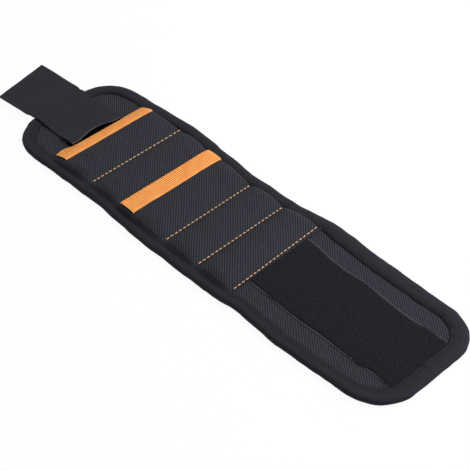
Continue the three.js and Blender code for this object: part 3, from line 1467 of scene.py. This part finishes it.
@dataclass(frozen=True)
class LoopPatch:
    """The loop tape that the strap's hooks grip, with its pile of brushed loops between two selvedges."""

    panel: PocketPanel
    selvedge: float = 0.9
    lift: float = 0.1
    tape: float = 0.4
    pile: float = 0.55
    pile_root: float = 0.02
    start_gap: float = 0.15
    near_edge: Knots = ((66, -24.3), (100, -25.4), (123, -24.8), (142, -25.3), (160, -24.6))
    far_edge: Knots = ((66, 25.4), (93, 22.8), (109, 23.6), (146, 21.7), (166, 22.8))
    edge_drop: float = 0.15
    edge_round: Span = Span(0, 0.6)
    tufts: Ripple = Ripple(0.22, 0.8, 5)
    clumps: Ripple = Ripple(0.08, 3, 6)
    loose_loops: Ripple = Ripple(0.4, 1.3, 7)
    loose_edge: Ripple = Ripple(0.9, 11, 13)
    loose_over: Span = Span(0, 1.5)
    fall: float = 0.35
    fall_over: Span = Span(0, 1.4)
    tape_grid: Grid = (1.5, 0.5)
    pile_grid: Grid = (0.6, 0.6)

    @property
    def across(self) -> Span:
        """The flat tape's two edges."""
        return Span(node_box("loop_patch_1")[0].y, node_box("loop_patch_3")[1].y)

    @property
    def bed(self) -> Span:
        """The pile's two edges on the flat tape."""
        return Span(self.across.low + self.selvedge, self.across.high - self.selvedge)

    @property
    def top(self) -> float:
        """Height of the woven tape."""
        return self.panel.base + self.lift + self.tape

    def drawn(self, flat: Vector) -> Vector:
        """Moves a point of the flat tape to between its two sewn edges, which aren't quite straight.

        Args:
            flat: The point.

        Returns:
            The point, moved across the band.
        """
        near = wander(flat.x, self.near_edge)
        far = wander(flat.x, self.far_edge)
        share = (flat.y - self.across.low) / self.across.length
        return Vector((flat.x, near + (far - near) * share, flat.z))

    def tape_placed(self, flat: Vector) -> Vector:
        """Lays a point of the flat tape, whose edges are rounded off."""
        drop = self.edge_drop * (1 - self.edge_round.rise(self.across.inside(flat.y)))
        return self.drawn(flat) + Vector((0, 0, self.top - drop))

    def pile_placed(self, flat: Vector) -> Vector:
        """Lays a point of the pile, which is tufted on top and ragged along its edges.

        Args:
            flat: The point on the flat bed.

        Returns:
            The point in place.
        """
        place = self.drawn(flat)
        if flat.z < -self.pile / 2:
            return Vector((place.x, place.y, self.top + self.pile_root))
        edge = self.bed.inside(flat.y)
        tuft = self.tufts.at(flat.x, flat.y) + self.clumps.at(flat.x, flat.y)
        loose = self.loose_loops.at(flat.x, flat.y) + self.loose_edge.at(flat.x, flat.y)
        outwards = math.copysign(1 - self.loose_over.rise(edge), flat.y - self.bed.middle)
        fall = self.fall * (1 - self.fall_over.rise(edge))
        return Vector((place.x, place.y + loose * outwards, self.top + self.pile + tuft - fall))

    def build(self) -> None:
        """Makes the tape and the pile, section by section."""
        start = BAND.folds[LOOP_FOLD].place + self.panel.hem + self.start_gap
        end = node_box("loop_patch_3")[1].x
        for number, section in enumerate(BAND.sections()[LOOP_FOLD:], start=1):
            span = Span(max(section.span.low, start), min(section.span.high, end))
            woven = cut_cloth(span, self.across, self.tape_grid)
            thicken(woven, self.tape)
            keep_flat_map(woven)
            lay(woven, self.tape_placed)
            tape = finish_piece(woven, f"loop_tape_{number}", SELVEDGE_TAPE)
            brushed = cut_cloth(span, self.bed, self.pile_grid)
            thicken(brushed, self.pile)
            keep_flat_map(brushed)
            lay(brushed, self.pile_placed)
            pile = finish_piece(brushed, f"loop_pile_{number}", BRUSHED_LOOPS)
            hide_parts(f"loop_patch_{number}")
            section.fold.bend(tape)
            section.fold.bend(pile)


@dataclass(frozen=True)
class Strap:
    """The flat strap: sewn down under the first pocket's mouth, free from there on, hooks under its tip."""

    thickness: float = 1.2
    end: float = -100.0
    end_bow: float = 3.0
    bow_at: float = -2.0
    bow_half: float = 13.5
    bow_over: float = 12.0
    end_drop: float = 0.5
    drop_over: float = 1.8
    end_rise: float = 1.4
    rise_over: Span = Span(-14, -5)
    seal: float = 0.32
    clear: float = 0.2
    pressed: float = 0.5
    climb_over: Span = Span(1, 25)
    falls_from: float = 2.0
    waves: Ripple = Ripple(0.6, 18, 8)
    crease_at: float = -141.0
    crease_slant: float = 0.6
    crease_depth: float = 1.0
    crease_width: float = 1.6
    selvedge: float = 3.0
    groove_depth: float = 0.12
    groove_width: float = 0.35
    lift_reach: float = 4.5
    bend_reach: float = 6.0
    tip_from: float = 182.0
    tip_skew: float = 4.4
    tip_cut: float = 2.8
    flare: float = 2.3
    flare_over: Span = Span(138, 147)
    hook_base: float = 0.45
    hook_pitch: float = 1.6
    hook_margin: float = 1.0
    hook_root: float = 0.05
    hook_radius: float = 0.16
    hook_stem: float = 0.35
    hook_curl: float = 0.2
    hook_turn: float = 170.0
    grid: Grid = (1.0, 0.4)
    seal_grid: Grid = (0.256, 0.8)
    hook_grid: Grid = (2.0, 2.0)

    @property
    def across(self) -> Span:
        """The strap's two edges."""
        low, high = node_box("strap_middle")
        return Span(low.y, high.y)

    def height(self, x: float) -> float:
        """Height of the face that shows: the strap lies on the band, climbs the binding and drops.

        Args:
            x: The place along the band.

        Returns:
            The height there.
        """
        low = node_box("strap_sewn_end")[1].z
        high = node_box("strap_middle")[1].z
        tip_low, tip_high = node_box("strap_tip")
        slope = (tip_high.z - tip_low.z - self.thickness) / (tip_high.x - tip_low.x)
        climbed = (high - low + self.pressed) * self.climb_over.rise(x - BAND.start)
        raised = self.end_rise * self.rise_over.rise(x - self.end)
        fallen = max(0.0, BAND.start - self.falls_from - x) * slope
        return high + self.clear - climbed + raised - fallen

    def placed(self, flat: Vector) -> Vector:
        """Lays a point of the flat strap.

        Args:
            flat: The point.

        Returns:
            The point in place.
        """
        x, y = flat.x, flat.y
        side = (y - self.across.middle) / (self.across.length / 2)
        groove = self.groove_depth * hump(self.across.inside(y) - self.selvedge, self.groove_width)
        bent = x - self.crease_at + self.crease_slant * side
        crease = self.crease_depth * hump(bent, self.crease_width)
        drop = self.end_drop * max(0.0, 1 - (self.end - x) / self.drop_over) ** 2
        height = self.height(x) + self.waves.at(x, y) - groove - crease - drop
        free = Span(-BAND.start, self.tip_from).rise(-x)
        bow = self.end_bow * max(0.0, 1 - ((y - self.bow_at) / self.bow_half) ** 2)
        bowed = bow * Span(self.end - self.bow_over, self.end).rise(x)
        flared = self.flare * self.flare_over.rise(-x) * (1 - side) / 2
        cut = (self.tip_cut - self.tip_skew * side) * free
        return Vector((x - bowed + cut, y - flared, height + flat.z))

    def build(self) -> None:
        """Makes the strap in two pieces, the pale bead along its sealed end, a painted highlight, and the
        hooks.
        """
        lift = joint_place("end_panel", "strap").x
        crease = joint_place("strap", "strap_free_end").x
        tip = node_box("strap_tip")[0].x
        middle = (lift + crease) / 2
        root = self.piece("root", Span(middle, self.end), ["strap_sewn_end", "strap_middle"])
        Fold("end_panel", "strap", lift, -self.lift_reach).bend(root)
        free_end = self.piece("free_end", Span(tip, middle), ["strap_tip"])
        Fold("strap", "strap_free_end", crease, -self.bend_reach).bend(free_end)
        self.highlight_bead()
        self.hooks()

    def piece(self, name: str, span: Span, nodes: list[str]) -> Piece:
        """Makes one piece of strap.

        Args:
            name: What it is called.
            span: Its stretch along the band.
            nodes: The CAD nodes that it stands for.

        Returns:
            The piece.
        """
        bm = cut_cloth(span, self.across, self.grid)
        thicken(bm, self.thickness)
        keep_flat_map(bm)
        lay(bm, self.placed)
        piece = finish_piece(bm, f"strap_{name}", STRAP_TAPE)
        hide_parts(*nodes)
        return piece

    def highlight_bead(self) -> None:
        """Makes the bead that hot cutting leaves along the strap's sewn end, coloured pale as a painted
        highlight.
        """
        bm = cut_cloth(Span(0, 2 * math.pi * self.seal), self.across, self.seal_grid)
        keep_flat_map(bm)
        lay(bm, self.bead_placed)
        piece = finish_piece(bm, "strap_end_highlight", CUT_END_HIGHLIGHT)
        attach(piece, "end_panel")

    def bead_placed(self, flat: Vector) -> Vector:
        """Rolls a point of a flat sheet, whose X runs round the bead, along the strap's end.

        Args:
            flat: The point.

        Returns:
            The point in place.
        """
        angle = flat.x / self.seal
        middle = self.placed(Vector((self.end, flat.y, -self.seal)))
        return middle + self.seal * Vector((math.sin(angle), 0, math.cos(angle)))

    def hook_placed(self, flat: Vector) -> Vector:
        """Hangs a point of the flat hook tape under the strap."""
        point = self.placed(Vector((flat.x, flat.y, 0)))
        return point + Vector((0, 0, flat.z - self.thickness - self.hook_root))

    def hooks(self) -> None:
        """Makes the hook tape under the tip: a thin base and its rows of hooks."""
        low, high = node_box("hook_tape")
        bm = cut_cloth(Span(low.x, high.x), Span(low.y, high.y), self.hook_grid)
        thicken(bm, self.hook_base)
        keep_flat_map(bm)
        lay(bm, self.hook_placed)
        crook = self.crook()
        columns = Span(low.x + self.hook_margin, high.x - self.hook_margin)
        rows = Span(low.y + self.hook_margin, high.y - self.hook_margin)
        foot = self.hook_root - self.hook_base
        for column in range(columns.segments(self.hook_pitch) + 1):
            for row in range(rows.segments(self.hook_pitch) + 1):
                x = columns.low + column * self.hook_pitch
                y = rows.low + row * self.hook_pitch
                matrix = Matrix.Translation(self.hook_placed(Vector((x, y, foot))))
                crook.transform(matrix)
                bm.from_mesh(crook)
                crook.transform(matrix.inverted())
        bpy.data.meshes.remove(crook)
        piece = finish_piece(bm, "hook_tape_dressed", HOOK_NYLON)
        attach(piece, "strap_free_end")
        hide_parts("hook_tape")

    def crook(self) -> bpy.types.Mesh:
        """Makes one hook: a stem that hangs down and curls over.

        Returns:
            Its mesh.
        """
        bm = bmesh.new()
        ring = bmesh.ops.create_circle(bm, segments=4, radius=self.hook_radius, cap_ends=True)
        bmesh.ops.translate(bm, vec=(0, 0, self.hook_root), verts=ring["verts"])
        grown = bmesh.ops.extrude_face_region(bm, geom=bm.faces[:])
        top = [v for v in grown["geom"] if isinstance(v, bmesh.types.BMVert)]
        bmesh.ops.translate(bm, vec=(0, 0, -self.hook_stem), verts=top)
        tip = [f for f in grown["geom"] if isinstance(f, bmesh.types.BMFace)]
        bmesh.ops.spin(
            bm,
            geom=tip,
            cent=(self.hook_curl, 0, self.hook_root - self.hook_stem),
            axis=(0, -1, 0),
            angle=math.radians(self.hook_turn),
            steps=4,
            use_duplicate=False,
        )
        bmesh.ops.recalc_face_normals(bm, faces=bm.faces)
        return add_mesh(bm, "crook")


@dataclass(frozen=True)
class Magnets:
    """The plate magnets inside the pockets, which keep their plain shapes."""

    prefix: str = "magnet"

    def build(self) -> None:
        """Gives each magnet its plating."""
        for name, node in frame["nodes"].items():
            if name.startswith(self.prefix):
                node.data.materials.clear()
                node.data.materials.append(NICKEL_PLATE.material())
                LOG.info("%s: plated", name)


@dataclass(frozen=True)
class Studio:
    """A pale floor, soft light, and the camera at the photograph's angle."""

    azimuth: float = 45.379
    elevation: float = 44.274
    roll: float = 0.774
    distance: float = 745.0
    target: tuple[float, float, float] = (28.587, -0.765, 0.0)
    focal_pixels: float = 1237.1
    frame_pixels: float = 470.0
    sensor: float = 36.0
    nearest: float = 10.0
    surround: float = 0.36
    softbox_place: tuple[float, float, float] = (400.0, 640.0, 690.0)
    softbox_size: float = 600.0
    softbox_power: float = 11.5
    floor_half: float = 6000.0
    floor_gap: float = 0.2
    floor_white: float = 0.95

    def build(self) -> None:
        """Makes the camera, the floor and the lights."""
        bpy.context.scene.view_settings.view_transform = "Standard"
        self.make_camera()
        self.make_floor()
        self.make_surround()
        self.make_softbox()

    def make_camera(self) -> None:
        """Sets the camera where the photograph was taken from."""
        azimuth = math.radians(self.azimuth)
        elevation = math.radians(self.elevation)
        level = math.cos(elevation)
        back = Vector((math.sin(azimuth) * level, -math.cos(azimuth) * level, math.sin(elevation)))
        data = bpy.data.cameras.new("camera")
        data.sensor_width = self.sensor
        data.lens = self.focal_pixels / self.frame_pixels * self.sensor
        data.clip_start = self.nearest * MM
        camera = add_object("camera", data)
        camera.location = (Vector(self.target) + back * self.distance) * MM
        aim = (-back).to_track_quat("-Z", "Y")
        camera.rotation_mode = "QUATERNION"
        camera.rotation_quaternion = aim @ Quaternion((0, 0, 1), math.radians(self.roll))
        bpy.context.scene.camera = camera

    def make_floor(self) -> None:
        """Lays a pale floor that keeps a soft shadow and lets the white behind it through."""
        bm = bmesh.new()
        bmesh.ops.create_grid(bm, x_segments=1, y_segments=1, size=self.floor_half * MM)
        bmesh.ops.translate(bm, vec=(0, 0, -self.floor_gap * MM), verts=bm.verts)
        mesh = add_mesh(bm, "floor")
        material = bpy.data.materials.new("pale_paper_floor")
        material.use_nodes = True
        tree = material.node_tree
        shader = tree.nodes["Principled BSDF"]
        paper = {"Base Color": linear("#ffffff"), "Roughness": 1.0, "Specular IOR Level": 0.0}
        connect(tree, shader, paper)
        below = add_node(tree, "ShaderNodeNewGeometry").outputs["Backfacing"]
        faint = {0: self.seen(tree), 1: self.floor_white}
        from_above = add_node(tree, "ShaderNodeMath", faint, operation="MULTIPLY")
        share = add_node(tree, "ShaderNodeMath", {0: from_above, 1: below}, operation="MAXIMUM")
        clear = add_node(tree, "ShaderNodeBsdfTransparent")
        mix = add_node(tree, "ShaderNodeMixShader", {0: share, 1: shader, 2: clear})
        connect(tree, tree.nodes["Material Output"], {"Surface": mix})
        mesh.materials.append(material)
        floor = add_object("floor", mesh)

    def seen(self, tree: Tree) -> Node:
        """Tells the rays from the camera, a gloss or a see-through surface from the others.

        Args:
            tree: The node tree.

        Returns:
            A node that is 1 for those rays.
        """
        rays = add_node(tree, "ShaderNodeLightPath").outputs
        first = {0: rays["Is Camera Ray"], 1: rays["Is Glossy Ray"]}
        either = add_node(tree, "ShaderNodeMath", first, operation="MAXIMUM")
        both = {0: either, 1: rays["Is Transmission Ray"]}
        return add_node(tree, "ShaderNodeMath", both, operation="MAXIMUM")

    def make_surround(self) -> None:
        """Surrounds the scene with even light, white where it is seen."""
        world = bpy.data.worlds.new("studio")
        world.use_nodes = True
        tree = world.node_tree
        ends = {"Value": self.seen(tree), "To Min": self.surround, "To Max": 1.0}
        strength = add_node(tree, "ShaderNodeMapRange", ends)
        connect(tree, tree.nodes["Background"], {"Strength": strength, "Color": (1, 1, 1, 1)})
        bpy.context.scene.world = world

    def make_softbox(self) -> None:
        """Hangs one large square light that faces the band."""
        place = Vector(self.softbox_place)
        data = bpy.data.lights.new("key", "AREA")
        data.size = self.softbox_size * MM
        data.energy = self.softbox_power
        light = add_object("key", data)
        light.location = place * MM
        light.rotation_euler = (-place).to_track_quat("-Z", "Y").to_euler()


def main() -> None:
    """Builds the studio and every sub-assembly in order."""
    logging.basicConfig(level=logging.INFO, format="%(message)s")
    Studio().build()
    panel = PocketPanel()
    Lining().build()
    FlatCloth(panel).build()
    MouthShadeSheet(panel).build()
    LoopPatch(panel).build()
    panel.build()
    WebbingStrip(panel, number=1, pocket=1, lower_edge=10.45, near_end=-35.2).build()
    WebbingStrip(panel, number=2, pocket=3, lower_edge=13.1, near_end=-36.4).build()
    StitchRows(panel).build()
    EdgeBinding(panel).build()
    Strap().build()
    Magnets().build()


if __name__ == "__main__":
    main()
